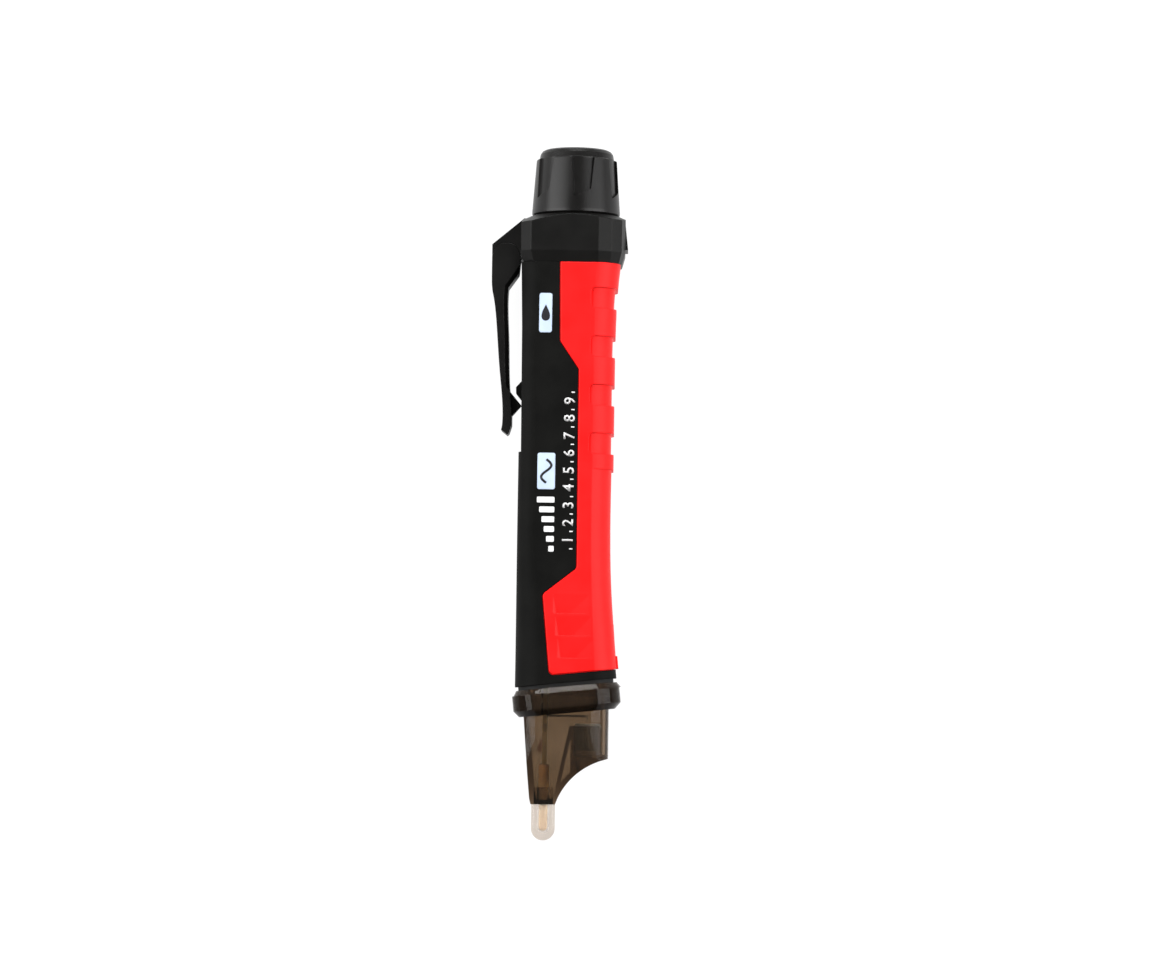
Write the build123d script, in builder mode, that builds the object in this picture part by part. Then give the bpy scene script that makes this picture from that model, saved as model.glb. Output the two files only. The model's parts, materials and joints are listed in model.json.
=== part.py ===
from build123d import *
import os
from math import cos, radians, sin, sqrt, tan

# Non contact voltage tester: a pen-shaped body that lies on its side.
# Station runs along the pen from the sensing tip (0) to the tail (LENGTH); f points from the
# pen axis to the clip and button face, s from the axis to the lettered side (world +Z).
# World axes: x = AXIS_X - f, y = station - LENGTH / 2, z = HALF_WIDTH + s.  Millimetres.

os.makedirs("parts", exist_ok=True)

LENGTH = 160.0
HALF_WIDTH = 11.0  # side faces of the tail and nose collars, which the pen rests on
AXIS_X = 3.475

# Body
FRONT = 12.3
BODY_HALF = 10.3
FRONT_FLAT = 6.5
BACK_FLAT = 4.5
GRIP_DEPTH = 1.1
GRIP_PROUD = 0.25
WALL = 2.6  # body surface to the electronics cavity
TILT = 6.0  # lean of the nose joint and of everything parallel to it
NOSE_JOINT = 36.45
COLLAR_LOW = 133.1
COLLAR_TOP = 144.5
GASKET = 0.9

# Battery bore and tail spigot
BORE_R = 5.6
BORE_LOW = 57.0
NECK_R = 8.55
SPIGOT_R = 7.55
SPIGOT_TOP = 151.0
STRIP_F = 5.8
STRIP_T = 0.3
STRIP_HALF = 1.5

# Thread of the tail cap
PITCH = 2.5
THREAD_TURNS = 1.2
THREAD_START = 147.2
THREAD_DEPTH = 0.6
THREAD_ROOT = 1.0
THREAD_TIP = 0.5
GROOVE_R = 6.8  # seal groove in the spigot
GROOVE_LOW = 145.1
GROOVE_TOP = 146.7
CAP_BORE_R = 8.35

# Cap
CAP_LOW = 144.7
CAP_R_LOW = 10.2
CAP_R_TOP = 9.35
CAP_CROWN = 157.8
CUP_R = 6.68
CUP_BORE_R = 6.75
CUP_T = 0.35
GRIP_COUNT = 6

# Cells
CELL_R = 5.25
CELL_LENGTH = 44.5
NUB_R = 1.9
NUB_H = 0.8
CONTACT_TOP = 62.4

# Buttons
BUTTON_R = 3.3
BUTTON_FIT = 0.08
BUTTON_FACE = 12.1
FLANGE_R = 3.9
FLANGE_LOW = 9.1
FLANGE_TOP = 9.65
POWER_STATION = 53.5
TORCH_STATION = 44.5
SWITCH_HALF = 3.0
SWITCH_TOP = 8.4
PLUNGER_R = 1.72

# Circuit board
BOARD_BACK = 4.8
BOARD_FACE = 5.8
BOARD_HALF = 6.0
BOARD_LOW = 17.5
BOARD_STEP = 25.0
BOARD_TOP = 59.5
BUZZER_STATION = 46.5
BUZZER_R = 4.4
BUZZER_H = 2.4
ALARM_STATION = 21.8

# Nose
COLLAR_HEIGHT = 6.1
NOSE_WALL = 1.3
NOSE_END = 8.35
TORCH_F = -4.9
TORCH_R = 3.25
LENS_R = 3.1
LENS_LOW = 19.6
LENS_TOP = 20.9
REFLECTOR_TOP = 27.0
TIP_F = 5.4
TIP_R = 2.75
TIP_HALF = 2.1
SENSOR_R = 1.2
SENSOR_LOW = 2.0

# Clip
CLIP_REACH = 19.2
KNUCKLE_F = 15.9
KNUCKLE_STATION = 134.6
KNUCKLE_R = 3.3
KNUCKLE_FIT = 0.06
CLIP_ROOT_HALF = 4.6
CLIP_FOOT_HALF = 3.7

PEN_AXIS = Axis((AXIS_X, 0, HALF_WIDTH), (0, 1, 0))
TORCH_AXIS = Axis((AXIS_X - TORCH_F, 0, HALF_WIDTH), (0, 1, 0))


def across(station):
    """Plane square to the pen axis, local (f, s)."""
    return Plane(origin=(AXIS_X, station - LENGTH / 2, HALF_WIDTH), x_dir=(-1, 0, 0), z_dir=(0, 1, 0))


def side(offset):
    """Plane of the side view, local (f, station), facing away from the lettered side."""
    return Plane(origin=(AXIS_X, -LENGTH / 2, HALF_WIDTH + offset), x_dir=(-1, 0, 0), z_dir=(0, 0, -1))


def front(depth):
    """Plane of the front view at f = depth, local (s, station), facing the clip side."""
    return Plane(origin=(AXIS_X - depth, -LENGTH / 2, HALF_WIDTH), x_dir=(0, 0, 1), z_dir=(-1, 0, 0))


def leaning(station):
    """Plane parallel to the nose joint, crossing the pen axis at the station, local (f, s)."""
    c = cos(radians(TILT))
    s = sin(radians(TILT))
    return Plane(origin=across(station).origin, x_dir=(-c, -s, 0), z_dir=(-s, c, 0))


def outline(plane, face, back, half, crease, back_crease, flat=FRONT_FLAT, back_flat=BACK_FLAT):
    """Body outline: flat front, flat sides and a round back that meets the sides in a crease."""
    with BuildSketch(plane) as drawn:
        with BuildLine():
            Line((face, -flat), (face, flat))
            TangentArc((face, flat), (crease, half), tangent=(0, 1))
            Line((crease, half), (-back_crease, half))
            TangentArc((-back, back_flat), (-back_crease, half), tangent=(0, 1))
            Line((-back, back_flat), (-back, -back_flat))
            TangentArc((-back, -back_flat), (-back_crease, -half), tangent=(0, -1))
            Line((-back_crease, -half), (crease, -half))
            TangentArc((face, -flat), (crease, -half), tangent=(0, -1))
        make_face()
    return drawn.sketch


def shell(growth=0.0, relief=0.0):
    """Body surface grown outwards; relief draws the back in over the long middle stretch."""

    corner = 0.55 * growth

    def section(station, back, crease, back_crease, flat, share):
        return outline(
            across(station),
            FRONT + growth,
            back + growth - relief * share,
            BODY_HALF + growth,
            crease + corner,
            back_crease + corner,
            flat + corner,
            BACK_FLAT + corner,
        )

    with BuildPart() as form:
        loft(
            [
                section(24, 11.9, 6.0, 6.1, 4.0, 0),
                section(38, 11.0, 6.0, 5.9, 4.0, 0),
                section(50, 9.95, 6.3, 5.3, 4.3, 0.1),
                section(62, 9.45, 7.9, 4.8, 5.8, 0.7),
                section(78, 9.35, 8.6, 4.6, FRONT_FLAT, 1),
                section(100, 9.35, 8.6, 4.6, FRONT_FLAT, 1),
                section(120, 9.45, 8.6, 4.6, FRONT_FLAT, 1),
                section(COLLAR_LOW, 10.3, 8.6, 4.8, FRONT_FLAT, 1),
            ]
        )
    return form.part


def block(f, station, s):
    """Box between pairs of f, station and s."""
    with BuildPart() as box:
        with BuildSketch(side(s[0])):
            with Locations(((f[0] + f[1]) / 2, (station[0] + station[1]) / 2)):
                Rectangle(abs(f[1] - f[0]), abs(station[1] - station[0]))
        extrude(amount=s[0] - s[1])
    return box.part


def plate(points, half):
    """Side-view polygon spread evenly to both sides."""
    with BuildPart() as solid:
        with BuildSketch(side(0)):
            with BuildLine():
                Polyline(*points, close=True)
            make_face()
        extrude(amount=half, both=True)
    return solid.part


def turned(points, axis=PEN_AXIS, offset=0.0):
    """Ring from a half profile of (radius, station) round an axis at f = offset."""
    with BuildPart() as solid:
        with BuildSketch(side(0)):
            with BuildLine():
                Polyline(*[(offset + radius, station) for radius, station in points], close=True)
            make_face()
        revolve(axis=axis)
    return solid.part


def rod(radius, low, high, offset=0.0, s=0.0):
    """Cylinder along the pen between two stations."""
    with BuildPart() as solid:
        with BuildSketch(across(low)):
            with Locations((offset, s)):
                Circle(radius)
        extrude(amount=high - low)
    return solid.part


def stud(radius, low, high, station, s=0.0):
    """Cylinder along f between two depths."""
    with BuildPart() as solid:
        with BuildSketch(front(low)):
            with Locations((s, station)):
                Circle(radius)
        extrude(amount=high - low)
    return solid.part


def helix_ridge(root, tip, start, turns):
    """Trapezoid ridge wound round the pen axis from a root radius to a tip radius."""
    centre = Vector(AXIS_X, start - LENGTH / 2, HALF_WIDTH)
    with BuildPart() as ridge:
        with BuildLine() as path:
            Helix(PITCH, PITCH * turns, root, center=centre, direction=(0, 1, 0))
        first = path.line @ 0
        with BuildSketch(Plane(origin=first, x_dir=first - centre, z_dir=path.line % 0)):
            with BuildLine():
                Polyline(
                    (0, -THREAD_ROOT / 2),
                    (0, THREAD_ROOT / 2),
                    (tip - root, THREAD_TIP / 2),
                    (tip - root, -THREAD_TIP / 2),
                    close=True,
                )
            make_face()
        sweep(path=path.line, is_frenet=True)
    return ridge.part


# ---------------------------------------------------------------- shared forms
body_form = shell()
grip_form = shell(GRIP_PROUD)
core_form = shell(-GRIP_DEPTH)
cavity_form = shell(-WALL)

# Side-view area of the grip
GRIP_SPLIT = -1.4
GRIP_LOW = 37.95
GRIP_LOW_F = 4.5
GRIP_REACH = -16.0
SEAM = 0.2
SEAM_DEPTH = 0.3
GRIP_SKIN = BODY_HALF + GRIP_PROUD
NOTCH_DEPTH = 0.65
WAIST_DEPTH = 0.5
WAIST_LOW = 50.0
WAIST_TOP = 85.5


def grip_area(inset=0.0):
    """Area of the grip in side view, right through the pen, drawn in from its border by the inset."""
    with BuildPart() as area:
        with BuildSketch(side(0)):
            with BuildLine():
                FilletPolyline(
                    (3.5 - inset, COLLAR_LOW + 4),
                    (3.15 - inset, 114.75),
                    (GRIP_SPLIT + 0.2 - inset, 108.35),
                    (GRIP_SPLIT - inset, 62.6),
                    (6.3 - inset, 56.55),
                    (GRIP_LOW_F - inset, GRIP_LOW + inset),
                    (GRIP_REACH, GRIP_LOW + inset + (GRIP_LOW_F - GRIP_REACH) * tan(radians(TILT))),
                    (GRIP_REACH, COLLAR_LOW + 4),
                    radius=1.2,
                    close=True,
                )
            make_face()
        extrude(amount=HALF_WIDTH + 3, both=True)
    return area.part


# ---------------------------------------------------------------- barrel
with BuildPart() as barrel:
    add(body_form)
    add(grip_area(), mode=Mode.SUBTRACT)
    add(core_form)
    split(bisect_by=leaning(NOSE_JOINT), keep=Keep.TOP)
    # upper front face set back from the button zone, and the latch that the clip snaps behind
    add(
        plate(((12.3, COLLAR_LOW), (11.9, 118), (11.7, 89.3), (15, 89.3), (15, COLLAR_LOW)), 12),
        mode=Mode.SUBTRACT,
    )
    add(plate(((11.2, 106.9), (13.25, 104.6), (13.2, 103.2), (11.2, 100.7)), 1.9))
    # neck, spigot and thread of the tail
    add(rod(NECK_R, COLLAR_LOW - 1, COLLAR_TOP))
    add(rod(SPIGOT_R, COLLAR_TOP, SPIGOT_TOP))
    add(helix_ridge(SPIGOT_R - 0.1, SPIGOT_R + THREAD_DEPTH, THREAD_START, THREAD_TURNS))
    groove = ((GROOVE_R, GROOVE_LOW), (9, GROOVE_LOW), (9, GROOVE_TOP), (GROOVE_R, GROOVE_TOP))
    add(turned(groove), mode=Mode.SUBTRACT)
    # cell bore, contact strip channel, electronics cavity
    add(rod(BORE_R, BORE_LOW - 2, SPIGOT_TOP + 1), mode=Mode.SUBTRACT)
    add(
        block((4, STRIP_F + STRIP_T), (BORE_LOW - 2, SPIGOT_TOP + 1), (-STRIP_HALF, STRIP_HALF)),
        mode=Mode.SUBTRACT,
    )
    add(cavity_form & block((-20, 20), (0, BORE_LOW), (-12, 12)), mode=Mode.SUBTRACT)
    # board rails
    for s in ((5.3, 8.2), (-8.2, -5.3)):
        add(block((3.7, 6.9), (41, BORE_LOW + 0.5), s))
    add(
        block((BOARD_BACK, BOARD_FACE), (40, BOARD_TOP), (-BOARD_HALF, BOARD_HALF)),
        mode=Mode.SUBTRACT,
    )
    # button windows, each with a pocket for the flange behind it
    for station in (POWER_STATION, TORCH_STATION):
        add(stud(FLANGE_R + 0.2, 6, FLANGE_TOP + 0.05, station), mode=Mode.SUBTRACT)
        add(stud(BUTTON_R + BUTTON_FIT, 8, 14, station), mode=Mode.SUBTRACT)
barrel.part.label = "Barrel"
export_step(barrel.part, "parts/barrel.step")

# ---------------------------------------------------------------- grip
NOTCH_HEIGHT = 4.8
NOTCH_PITCH = 11.18
NOTCH_FIRST = 91.4
NOTCH_START = -3.9
NOTCH_R = 1.1
NOTCH_COUNT = 4
SCALLOP_PITCH = 5.08
SCALLOP_FIRST = 42.0
SCALLOP_RISE = 4.5
SCALLOP_DEPTH = 0.45
SCALLOP_COUNT = 3
SCALLOP_WALL = 2.5  # front end of the first scallop, and how far each next one starts forward
SCALLOP_DRIFT = 0.6
LIP_TOP = 42.7
LIP_PROUD = 0.4
RIM_R = 0.2


def scallop(step, wall, sign):
    """Thumb rest: a ramp that deepens towards the nose, ends in a step and fades out at the back."""
    floor = GRIP_SKIN - SCALLOP_DEPTH
    with BuildPart() as ramp:
        with BuildSketch(front(wall + 1)):
            with BuildLine():
                Polyline(
                    (sign * floor, step),
                    (sign * GRIP_SKIN, step + SCALLOP_RISE),
                    (sign * (GRIP_SKIN + 1), step + SCALLOP_RISE),
                    (sign * (GRIP_SKIN + 1), step),
                    close=True,
                )
            make_face()
        extrude(amount=-12)
        with BuildSketch(across(step - 1)):
            with BuildLine():
                Polyline(
                    (wall, sign * (GRIP_SKIN + 1)),
                    (wall, sign * GRIP_SKIN),
                    (wall - 0.7, sign * floor),
                    (wall - 4.0, sign * floor),
                    (wall - 8.2, sign * GRIP_SKIN),
                    (wall - 8.2, sign * (GRIP_SKIN + 1)),
                    close=True,
                )
            make_face()
        extrude(amount=SCALLOP_RISE + 2, mode=Mode.INTERSECT)
    return ramp.part


with BuildPart() as grip:
    # proud skin inside a narrow seam along the border
    add(grip_form & grip_area(SEAM))
    add(shell(-SEAM_DEPTH) & grip_area())
    # short lip on the back of the lower end
    lip_area = grip_area(SEAM) & block((GRIP_REACH, -9.8), (GRIP_LOW, LIP_TOP), (-5, 5))
    add(shell(GRIP_PROUD + LIP_PROUD) & lip_area)
    add(core_form, mode=Mode.SUBTRACT)
    add(block((-20, 20), (COLLAR_LOW, 150), (-15, 15)), mode=Mode.SUBTRACT)
    # rounded rim along the seam on both flat sides
    rim = [
        edge
        for edge in edges()
        if abs(abs(edge.center().Z - HALF_WIDTH) - GRIP_SKIN) < 0.02 and AXIS_X - edge.center().X > -3
    ]
    fillet(rim, RIM_R)
    notch_floor = shell(GRIP_PROUD - NOTCH_DEPTH)
    for k in range(NOTCH_COUNT):
        with BuildPart(mode=Mode.PRIVATE) as notch:
            with BuildSketch(side(0)):
                with Locations(((NOTCH_START + GRIP_REACH - 4) / 2, NOTCH_FIRST + k * NOTCH_PITCH)):
                    RectangleRounded(NOTCH_START - GRIP_REACH + 4, NOTCH_HEIGHT, NOTCH_R)
            extrude(amount=HALF_WIDTH + 3, both=True)
        add(notch.part - notch_floor, mode=Mode.SUBTRACT)
    waist_floor = shell(GRIP_PROUD, WAIST_DEPTH)
    add(block((-20, -4.0), (WAIST_LOW, WAIST_TOP), (-15, 15)) - waist_floor, mode=Mode.SUBTRACT)
    for k in range(SCALLOP_COUNT):
        for sign in (-1, 1):
            wall = SCALLOP_WALL + SCALLOP_DRIFT * k
            add(scallop(SCALLOP_FIRST + k * SCALLOP_PITCH, wall, sign), mode=Mode.SUBTRACT)
grip.part.label = "Grip overmould"
export_step(grip.part, "parts/grip_overmould.step")

# ---------------------------------------------------------------- nose gasket
with BuildPart() as gasket:
    with BuildSketch(leaning(NOSE_JOINT - GASKET)):
        add(outline(Plane.XY, 11.55, 10.45, 9.75, 5.7, 5.7, 3.8))
    extrude(amount=GASKET * cos(radians(TILT)))
    add(cavity_form, mode=Mode.SUBTRACT)
gasket.part.label = "Nose gasket"
export_step(gasket.part, "parts/nose_gasket.step")

# ---------------------------------------------------------------- nose cone
NOSE_TOP = 40.0
SCOOP_F = -12.9  # centre and radius of the hollow under the torch
SCOOP_STATION = 2.9
SCOOP_R = 16.5
NOSE_BACK = 9.4
NOSE_HALF = 9.3


def nose_form(inset):
    """Nose outside the collar: side view, front view and cross-section together."""
    scoop_r = SCOOP_R + inset
    back = inset - NOSE_BACK
    low = NOSE_END + inset
    back_low = SCOOP_STATION + sqrt(scoop_r**2 - (back - SCOOP_F) ** 2)
    toe_station = low + 1.3
    toe_f = SCOOP_F + sqrt(scoop_r**2 - (toe_station - SCOOP_STATION) ** 2)
    with BuildPart() as form:
        with BuildSketch(side(0)):
            with BuildLine():
                Polyline((back, NOSE_TOP), (11.0 - inset, NOSE_TOP), (8.6 - inset, toe_station))
                Polyline(
                    (8.6 - inset, toe_station),
                    (8.3 - inset, low),
                    (toe_f + 0.5, low),
                    (toe_f, toe_station),
                )
                RadiusArc((toe_f, toe_station), (back, back_low), -scoop_r)
                Line((back, back_low), (back, NOSE_TOP))
            make_face()
        extrude(amount=HALF_WIDTH, both=True)
        half = NOSE_HALF - inset
        with BuildSketch(front(0)):
            with BuildLine():
                Line((3.3 - inset, low), (inset - 3.3, low))
                Line((half, 25), (half, NOSE_TOP))
                Line((half, NOSE_TOP), (-half, NOSE_TOP))
                Line((-half, NOSE_TOP), (-half, 25))
                TangentArc((-half, 25), (inset - 3.3, low), tangent=(0, -1))
                TangentArc((half, 25), (3.3 - inset, low), tangent=(0, -1))
            make_face()
        extrude(amount=20, both=True, mode=Mode.INTERSECT)
        with BuildSketch(across(0)):
            creases = (7.0 - inset, 5.4 - inset, 5.0 - inset, 4.2 - inset)
            add(outline(Plane.XY, 10.9 - inset, -back, half, *creases))
        extrude(amount=60, mode=Mode.INTERSECT)
    return form.part


PLUG_TOP = 39.4
NOSE_COLLAR_LOW = NOSE_JOINT - GASKET - COLLAR_HEIGHT
NOSE_COLLAR_FOOT = 1.4  # height of the lower and of the upper bevel
NOSE_COLLAR_CREST = 1.2
NOSE_COLLAR_BAND = (12.6, 12.2, HALF_WIDTH, 7.2, 7.0, 5.4, 4.6)
with BuildPart() as nose:
    add(nose_form(0))
    split(bisect_by=leaning(NOSE_COLLAR_LOW + 1), keep=Keep.BOTTOM)
    # collar band with its two bevels
    with BuildSketch(leaning(NOSE_COLLAR_LOW)):
        add(outline(Plane.XY, 11.3, 10.9, 9.7, 6.4, 6.4, 4.7, 4.2))
    with BuildSketch(leaning(NOSE_COLLAR_LOW + NOSE_COLLAR_FOOT)):
        add(outline(Plane.XY, *NOSE_COLLAR_BAND))
    loft(ruled=True)
    with BuildSketch(leaning(NOSE_COLLAR_LOW + NOSE_COLLAR_FOOT)):
        add(outline(Plane.XY, *NOSE_COLLAR_BAND))
    extrude(amount=COLLAR_HEIGHT - NOSE_COLLAR_FOOT - NOSE_COLLAR_CREST)
    with BuildSketch(leaning(NOSE_COLLAR_LOW + COLLAR_HEIGHT - NOSE_COLLAR_CREST)):
        add(outline(Plane.XY, *NOSE_COLLAR_BAND))
    with BuildSketch(leaning(NOSE_COLLAR_LOW + COLLAR_HEIGHT)):
        add(outline(Plane.XY, 12.1, 11.2, 10.3, 6.6, 6.3, 4.6, 4.5))
    loft(ruled=True)
    add(shell(-WALL - 0.02) & block((-20, 20), (33, PLUG_TOP), (-12, 12)))
    # torch tube, then the inside
    add(nose_form(NOSE_WALL) & block((-20, 20), (5, 33.5), (-12, 12)), mode=Mode.SUBTRACT)
    add(shell(-WALL - 1.2) & block((-20, 20), (32.5, PLUG_TOP + 1), (-12, 12)), mode=Mode.SUBTRACT)
    add(rod(TORCH_R + 1.0, 12, REFLECTOR_TOP - 0.5, TORCH_F) & nose_form(0.2))
    add(plate(((-1.4, 26.5), (-0.5, 26.5), (2.7, 12.0), (1.8, 12.0)), 8) & nose_form(0.2))
    add(rod(TORCH_R, LENS_TOP, PLUG_TOP, TORCH_F), mode=Mode.SUBTRACT)
    add(rod(LENS_R, LENS_LOW, PLUG_TOP, TORCH_F), mode=Mode.SUBTRACT)
    add(rod(LENS_R - 0.3, 5, PLUG_TOP, TORCH_F), mode=Mode.SUBTRACT)

# ---------------------------------------------------------------- sensing tip
SEAT_TOP = NOSE_END + 4.0
with BuildPart() as tip_seat:
    with BuildSketch(side(0)):
        with Locations((TIP_F, (NOSE_END + SEAT_TOP) / 2 - 1)):
            Rectangle(2 * TIP_R - 1.1, SEAT_TOP - NOSE_END + 2)
    extrude(amount=TIP_HALF - 0.3, both=True)
with BuildPart() as nose_cone:
    add(nose.part)
    add(tip_seat.part, mode=Mode.SUBTRACT)
nose_cone.part.label = "Nose cone"
export_step(nose_cone.part, "parts/nose_cone.step")
with BuildPart() as sensor_well:
    add(rod(SENSOR_R + 0.3, SENSOR_LOW + SENSOR_R, SEAT_TOP + 1, TIP_F))
    with Locations((AXIS_X - TIP_F, SENSOR_LOW + SENSOR_R - LENGTH / 2, HALF_WIDTH)):
        Sphere(SENSOR_R + 0.3)
with BuildPart() as tip:
    with BuildSketch(side(0)):
        with Locations((TIP_F, TIP_R)):
            Circle(TIP_R)
        with Locations((TIP_F, (TIP_R + NOSE_END) / 2)):
            Rectangle(2 * TIP_R, NOSE_END - TIP_R)
    extrude(amount=TIP_HALF, both=True)
    fillet(faces().sort_by(Axis.Z)[0].edges().filter_by(Axis.X, reverse=True), 0.9)
    fillet(faces().sort_by(Axis.Z)[-1].edges().filter_by(Axis.X, reverse=True), 0.9)
    add(tip_seat.part & rod(20, NOSE_END - 1, SEAT_TOP))
    add(sensor_well.part, mode=Mode.SUBTRACT)
tip.part.label = "Sensing tip"
export_step(tip.part, "parts/sensing_tip.step")

with BuildPart() as sensor:
    add(rod(SENSOR_R, SENSOR_LOW + SENSOR_R, BOARD_LOW, TIP_F))
    with Locations((AXIS_X - TIP_F, SENSOR_LOW + SENSOR_R - LENGTH / 2, HALF_WIDTH)):
        Sphere(SENSOR_R)
sensor.part.label = "Sensor probe"
export_step(sensor.part, "parts/sensor_probe.step")

# ---------------------------------------------------------------- torch
with BuildPart() as lens:
    add(rod(LENS_R, LENS_LOW, LENS_TOP, TORCH_F))
    fillet(faces().sort_by(Axis.Y)[0].edges(), 0.3)
lens.part.label = "Torch lens"
export_step(lens.part, "parts/torch_lens.step")

LED_R = 1.5
LED_LOW = 23.2
with BuildPart() as reflector:
    cup = ((TORCH_R, LENS_TOP), (TORCH_R, REFLECTOR_TOP), (LED_R + 0.1, REFLECTOR_TOP))
    inner = ((LED_R + 0.1, 24.6), (2.3, 22.8), (2.9, LENS_TOP))
    add(turned(cup + inner, TORCH_AXIS, TORCH_F))
reflector.part.label = "Torch reflector"
export_step(reflector.part, "parts/torch_reflector.step")

with BuildPart() as torch_led:
    add(rod(LED_R, LED_LOW + LED_R, REFLECTOR_TOP, TORCH_F))
    with Locations((AXIS_X - TORCH_F, LED_LOW + LED_R - LENGTH / 2, HALF_WIDTH)):
        Sphere(LED_R)
    add(rod(LED_R + 0.3, REFLECTOR_TOP, REFLECTOR_TOP + 0.8, TORCH_F))
torch_led.part.label = "Torch lamp"
export_step(torch_led.part, "parts/torch_lamp.step")

with BuildPart() as leads:
    for s in ((0.4, 0.9), (-0.9, -0.4)):
        add(block((TORCH_F - 0.25, TORCH_F + 0.25), (REFLECTOR_TOP + 0.8, 29.0), s))
        add(block((TORCH_F - 0.25, BOARD_BACK), (28.5, 29.0), s))
leads.part.label = "Torch leads"
export_step(leads.part, "parts/torch_leads.step")

# ---------------------------------------------------------------- circuit board
with BuildPart() as board:
    with BuildSketch(front(BOARD_BACK)):
        with BuildLine():
            Polyline(
                (2.0, BOARD_LOW),
                (2.0, BOARD_STEP),
                (4.6, BOARD_STEP + 2),
                (4.6, 39.6),
                (BOARD_HALF, 40.4),
                (BOARD_HALF, 57.0),
                (5.0, 57.8),
                (5.0, BOARD_TOP),
                (-5.0, BOARD_TOP),
                (-5.0, 57.8),
                (-BOARD_HALF, 57.0),
                (-BOARD_HALF, 40.4),
                (-4.6, 39.6),
                (-4.6, BOARD_STEP + 2),
                (-2.0, BOARD_STEP),
                (-2.0, BOARD_LOW),
                close=True,
            )
        make_face()
    extrude(amount=BOARD_FACE - BOARD_BACK)
board.part.label = "Circuit board"
export_step(board.part, "parts/circuit_board.step")

with BuildPart() as chip:
    add(block((BOARD_BACK - 1.3, BOARD_BACK), (34.5, 39.5), (-2.5, 2.5)))
chip.part.label = "Controller chip"
export_step(chip.part, "parts/controller_chip.step")

with BuildPart() as small_parts:
    for station in (30.0, 33.0, 36.0):
        for s in (-3.2, 0.0, 3.2):
            add(block((BOARD_FACE, BOARD_FACE + 0.6), (station, station + 1.6), (s - 0.4, s + 0.4)))
small_parts.part.label = "Surface-mount parts"
export_step(small_parts.part, "parts/surface_mount_parts.step")

with BuildPart() as alarm_led:
    add(block((BOARD_FACE, BOARD_FACE + 0.9), (ALARM_STATION - 1.6, ALARM_STATION + 1.6), (-1.4, 1.4)))
    add(stud(1.1, BOARD_FACE + 0.9, BOARD_FACE + 1.4, ALARM_STATION))
alarm_led.part.label = "Alarm lamp"
export_step(alarm_led.part, "parts/alarm_lamp.step")

with BuildPart() as buzzer:
    add(stud(BUZZER_R, BOARD_BACK - BUZZER_H, BOARD_BACK, BUZZER_STATION))
    add(stud(0.7, BOARD_BACK - 3, BOARD_BACK - BUZZER_H / 2, BUZZER_STATION), mode=Mode.SUBTRACT)
buzzer.part.label = "Buzzer"
export_step(buzzer.part, "parts/buzzer.step")

# ---------------------------------------------------------------- switches and buttons
for name, label, station in (
    ("power", "Power", POWER_STATION),
    ("torch", "Torch", TORCH_STATION),
):
    with BuildPart() as body:
        add(block((BOARD_FACE, SWITCH_TOP), (station - SWITCH_HALF, station + SWITCH_HALF), (-3, 3)))
        add(stud(PLUNGER_R + BUTTON_FIT, SWITCH_TOP - 1.2, SWITCH_TOP + 1, station), mode=Mode.SUBTRACT)
    body.part.label = label + " switch body"
    export_step(body.part, "parts/" + name + "_switch_body.step")

    with BuildPart() as plunger:
        add(stud(PLUNGER_R, SWITCH_TOP - 0.5, FLANGE_LOW, station))
    plunger.part.label = label + " switch plunger"
    export_step(plunger.part, "parts/" + name + "_switch_plunger.step")

    with BuildPart() as button:
        add(stud(FLANGE_R, FLANGE_LOW, FLANGE_TOP, station))
        add(stud(BUTTON_R, FLANGE_TOP, BUTTON_FACE, station))
        fillet(faces().sort_by(Axis.X)[0].edges(), 0.5)
    button.part.label = label + " button"
    export_step(button.part, "parts/" + name + "_button.step")

# ---------------------------------------------------------------- cells and contacts
with BuildPart() as holder:
    add(rod(BORE_R, 59.0, CONTACT_TOP - 0.4))
    add(block((BOARD_BACK, 8), (50, 70), (-6, 6)), mode=Mode.SUBTRACT)
    add(block((BOARD_BACK - 0.4, BOARD_BACK), (50, 70), (-1.2, 1.2)), mode=Mode.SUBTRACT)
holder.part.label = "Contact holder"
export_step(holder.part, "parts/contact_holder.step")

with BuildPart() as positive:
    add(rod(3.4, CONTACT_TOP - 0.4, CONTACT_TOP))
    add(block((2.5, BOARD_BACK), (CONTACT_TOP - 0.4, CONTACT_TOP), (-1.2, 1.2)))
    add(block((BOARD_BACK - 0.4, BOARD_BACK), (53.0, CONTACT_TOP), (-1.2, 1.2)))
positive.part.label = "Positive contact"
export_step(positive.part, "parts/positive_contact.step")

for name, label, low in (
    ("front_cell", "Front cell", CONTACT_TOP),
    ("rear_cell", "Rear cell", CONTACT_TOP + CELL_LENGTH),
):
    with BuildPart() as cell:
        add(rod(CELL_R, low + NUB_H, low + CELL_LENGTH))
        fillet(edges().filter_by(GeomType.CIRCLE), 0.4)
        add(rod(NUB_R, low, low + NUB_H + 0.5))
    cell.part.label = label
    export_step(cell.part, "parts/" + name + ".step")
CELL_END = CONTACT_TOP + 2 * CELL_LENGTH

with BuildPart() as strip:
    add(block((STRIP_F, STRIP_F + STRIP_T), (57.0, SPIGOT_TOP), (-STRIP_HALF, STRIP_HALF)))
strip.part.label = "Negative strip"
export_step(strip.part, "parts/negative_strip.step")

with BuildPart() as ring:
    with BuildSketch(across(SPIGOT_TOP)):
        Circle(SPIGOT_R - 0.2)
        Circle(BORE_R + 0.05, mode=Mode.SUBTRACT)
    extrude(amount=0.3)
ring.part.label = "Spigot contact ring"
export_step(ring.part, "parts/spigot_contact_ring.step")

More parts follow.
